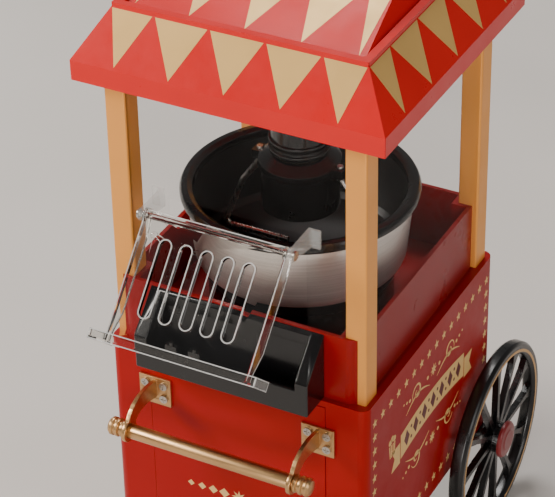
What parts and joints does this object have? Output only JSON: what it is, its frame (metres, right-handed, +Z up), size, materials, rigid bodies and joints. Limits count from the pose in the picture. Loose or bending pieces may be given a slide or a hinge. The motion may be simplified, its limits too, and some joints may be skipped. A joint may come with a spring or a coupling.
{
  "type": "popcorn maker",
  "caption": "Tabletop popcorn cart with a stirred hot-plate kettle in a clear cabinet, tilting serving door, pennant roof, push handle and spoked wheels.",
  "frame": {"origin": "middle of the footprint, on the surface it stands on", "axes": "+Z up, -Y out of the front (serving door), +X to the right seen from the front"},
  "size_m": [0.2448, 0.3678, 0.5135],
  "materials": {
    "red_shell": "glossy injection-moulded red plastic",
    "gold_column": "satin gold lacquered extrusion",
    "brass_handle": "brushed and lacquered brass",
    "black_gloss": "glossy black plastic",
    "steel": "brushed stainless steel",
    "clear_plastic": "clear polished plastic",
    "rubber": "matte black rubber",
    "grey_plastic": "moulded grey plastic",
    "dark_cast": "black anodised cast plate",
    "ceramic": "off-white moulded insulator",
    "hub_red": "satin dark red plastic"
  },
  "bodies": {
    "cart": {"base_housing": "red_shell", "base_bottom_plate": "grey_plastic", "bottom_screws": "steel", "front_panel": "red_shell", "front_leg_left": "black_gloss", "front_leg_right": "black_gloss", "foot_pad_left": "rubber", "foot_pad_right": "rubber", "axle": "steel", "axle_bracket_left": "black_gloss", "axle_bracket_right": "black_gloss", "handle_bar": "brass_handle", "handle_knobs": "brass_handle", "handle_bracket_left": "brass_handle", "handle_bracket_right": "brass_handle", "handle_screws": "steel", "tub": "red_shell", "heater_housing": "black_gloss", "heat_reflector": "steel", "heating_element": "dark_cast", "thermostat": "ceramic", "thermal_fuse": "ceramic", "hot_plate": "dark_cast", "terminal_block": "ceramic", "kettle": "steel", "kettle_rim": "black_gloss", "chute": "black_gloss", "chute_catch": "black_gloss", "column_front_left": "gold_column", "column_front_right": "gold_column", "column_rear_left": "gold_column", "column_rear_right": "gold_column", "window_left": "clear_plastic", "window_right": "clear_plastic", "window_rear": "clear_plastic", "window_front": "clear_plastic", "hinge_brackets": "clear_plastic", "hinge_pins": "steel", "ceiling_plate": "red_shell", "gearbox": "grey_plastic", "stir_motor": "steel", "motor_screws": "steel", "drive_column": "black_gloss", "shaft_bush": "brass_handle", "roof_canopy": "red_shell", "switch_housing": "black_gloss", "cord_gland": "black_gloss"},
    "wheel_left": {"wheel_rim_left": "black_gloss", "wheel_spokes_left": "black_gloss", "hub_cap_left": "hub_red"},
    "wheel_right": {"wheel_rim_right": "black_gloss", "wheel_spokes_right": "black_gloss", "hub_cap_right": "hub_red"},
    "serving_door": {"door": "clear_plastic"},
    "stirrer": {"drive_shaft": "steel", "stir_bell": "black_gloss", "stir_rods": "steel"},
    "lid": {"roof_lid": "red_shell"},
    "rocker": {"switch_rocker": "hub_red"}
  },
  "joints": [
    {"name": "wheel_left_spin", "type": "hinge", "parent": "cart", "child": "wheel_left", "pos_m": [-0.1105, 0.10793, 0.076], "axis": [1, 0, 0], "continuous": true},
    {"name": "wheel_right_spin", "type": "hinge", "parent": "cart", "child": "wheel_right", "pos_m": [0.1105, 0.10793, 0.076], "axis": [1, 0, 0], "continuous": true},
    {"name": "door_swing", "type": "hinge", "parent": "cart", "child": "serving_door", "pos_m": [0, -0.11607, 0.363], "axis": [-1, 0, 0], "range_deg": [-37, 40]},
    {"name": "stirrer_spin", "type": "hinge", "parent": "cart", "child": "stirrer", "pos_m": [0, 0.00373, 0.36], "axis": [0, 0, 1], "continuous": true},
    {"name": "lid_lift", "type": "slide", "parent": "cart", "child": "lid", "axis": [0, 0, 1], "range_m": [0, 0.06]},
    {"name": "power_rocker", "type": "hinge", "parent": "cart", "child": "rocker", "pos_m": [-0.034, 0.11383, 0.128], "axis": [1, 0, 0], "range_deg": [-8, 8]}
  ]
}
